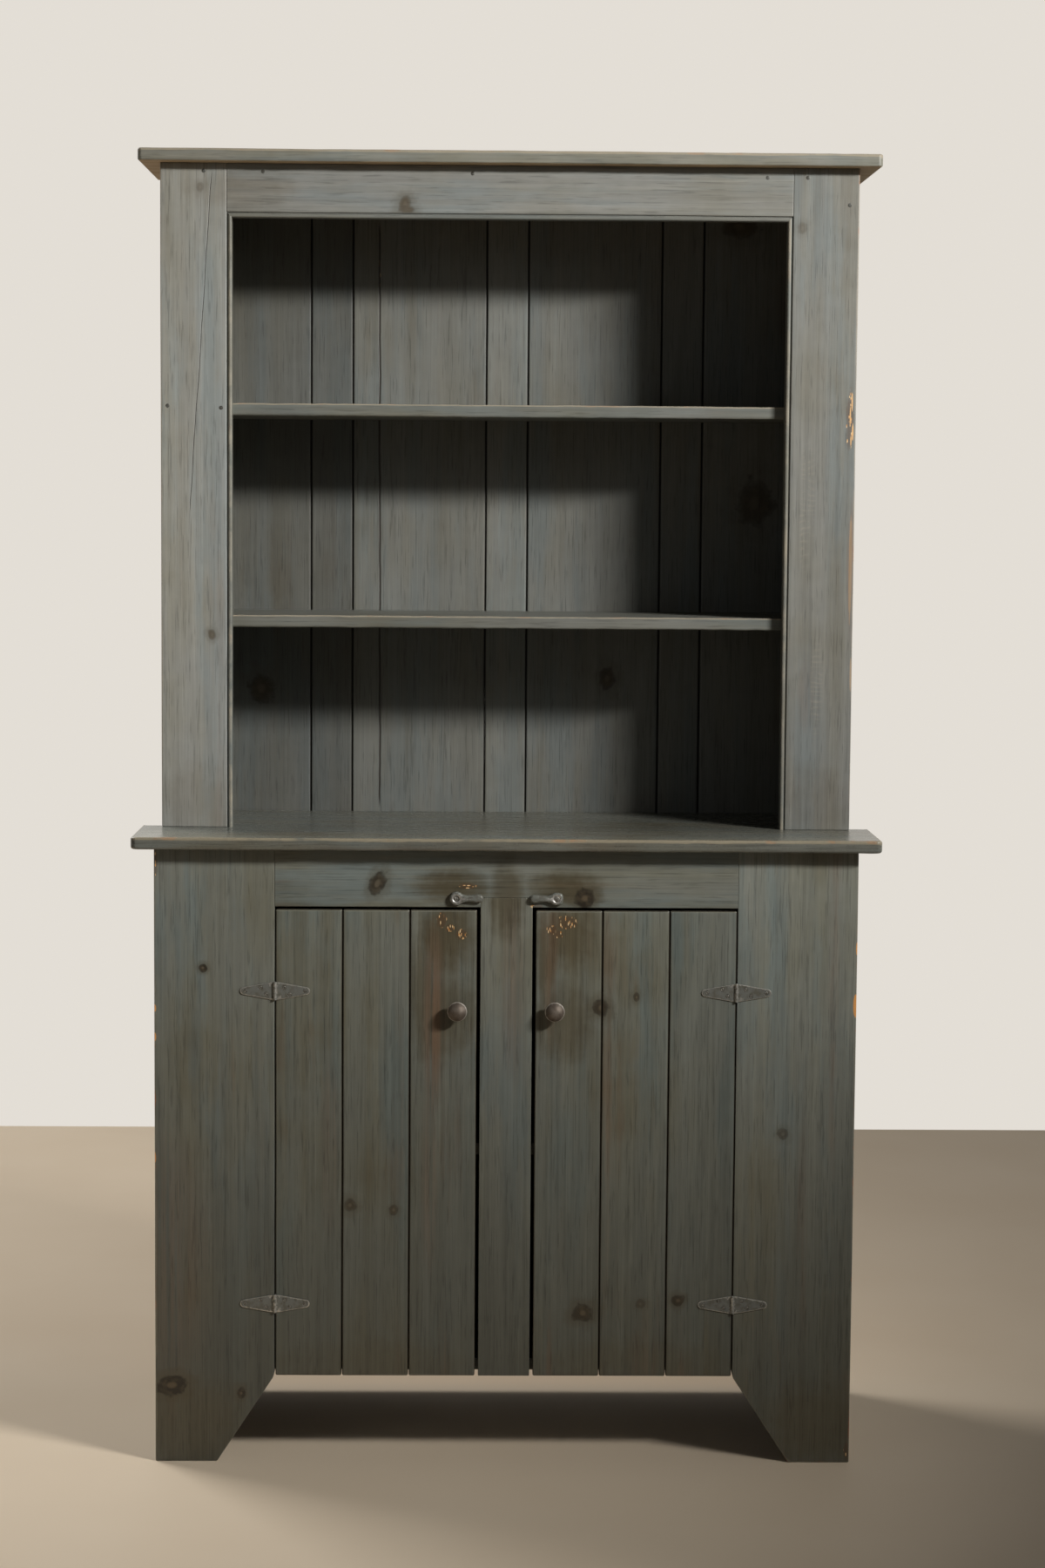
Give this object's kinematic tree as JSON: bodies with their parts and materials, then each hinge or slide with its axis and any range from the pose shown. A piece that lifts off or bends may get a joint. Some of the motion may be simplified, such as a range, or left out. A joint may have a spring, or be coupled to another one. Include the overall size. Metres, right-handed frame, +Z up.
{
  "type": "kitchen hutch",
  "caption": "Step-back kitchen hutch: open shelves over a deeper cupboard with two boarded doors on strap hinges, each shut by a turn button.",
  "frame": {"origin": "on the floor, in the middle of the outline seen from above, which the counter's front edge, the counter's ends and the back boards bound", "axes": "+X to the right seen from the front, +Y from the doors to the back, +Z up"},
  "size_m": [1.078, 0.419, 1.905],
  "materials": {
    "face_paint": "blue-grey painted pine under a satin brown glaze, worn to pale wood at the edges",
    "case_paint": "the same paint, darker inside the case",
    "painted_hinge": "zinc hinge under the same paint, bright at its edges",
    "knob_metal": "worn bronzed metal",
    "button_metal": "cast metal with worn grey paint",
    "steel": "dulled steel"
  },
  "bodies": {
    "case": {"back_board_1": "case_paint", "back_board_2": "case_paint", "back_board_3": "case_paint", "back_board_4": "case_paint", "back_board_5": "case_paint", "back_board_6": "case_paint", "back_board_7": "case_paint", "bead_left": "face_paint", "bead_right": "face_paint", "bead_top": "face_paint", "counter_top": "face_paint", "cupboard_floor": "case_paint", "cupboard_shelf": "case_paint", "door_left_lower_hinge_case_leaf": "painted_hinge", "door_left_upper_hinge_case_leaf": "painted_hinge", "door_right_lower_hinge_case_leaf": "painted_hinge", "door_right_upper_hinge_case_leaf": "painted_hinge", "lower_rail": "face_paint", "lower_stile_left": "face_paint", "lower_stile_right": "face_paint", "mullion": "face_paint", "shelf_middle": "face_paint", "shelf_upper": "face_paint", "side_left": "case_paint", "side_right": "case_paint", "top_board": "face_paint", "turn_button_screws": "steel", "upper_rail": "face_paint", "upper_stile_left": "face_paint", "upper_stile_right": "face_paint"},
    "door_left": {"door_left_batten_lower": "case_paint", "door_left_batten_upper": "case_paint", "door_left_board_1": "face_paint", "door_left_board_2": "face_paint", "door_left_board_3": "face_paint", "door_left_knob": "knob_metal", "door_left_lower_hinge_door_leaf": "painted_hinge", "door_left_upper_hinge_door_leaf": "painted_hinge"},
    "door_right": {"door_right_batten_lower": "case_paint", "door_right_batten_upper": "case_paint", "door_right_board_1": "face_paint", "door_right_board_2": "face_paint", "door_right_board_3": "face_paint", "door_right_knob": "knob_metal", "door_right_lower_hinge_door_leaf": "painted_hinge", "door_right_upper_hinge_door_leaf": "painted_hinge"},
    "turn_button_left": {"turn_button_left": "button_metal"},
    "turn_button_right": {"turn_button_right": "button_metal"}
  },
  "joints": [
    {"name": "door_left_hinge", "type": "hinge", "parent": "case", "child": "door_left", "pos_m": [-0.33375, -0.1829, 0.465], "axis": [0, 0, -1], "range_deg": [0, 170]},
    {"name": "door_right_hinge", "type": "hinge", "parent": "case", "child": "door_right", "pos_m": [0.33375, -0.1829, 0.465], "axis": [0, 0, 1], "range_deg": [0, 170]},
    {"name": "turn_button_left_pivot", "type": "hinge", "parent": "case", "child": "turn_button_left", "pos_m": [-0.0725, -0.1805, 0.831], "axis": [0, -1, 0], "range_deg": [-90, 90]},
    {"name": "turn_button_right_pivot", "type": "hinge", "parent": "case", "child": "turn_button_right", "pos_m": [0.0725, -0.1805, 0.831], "axis": [0, 1, 0], "range_deg": [-90, 90]}
  ]
}
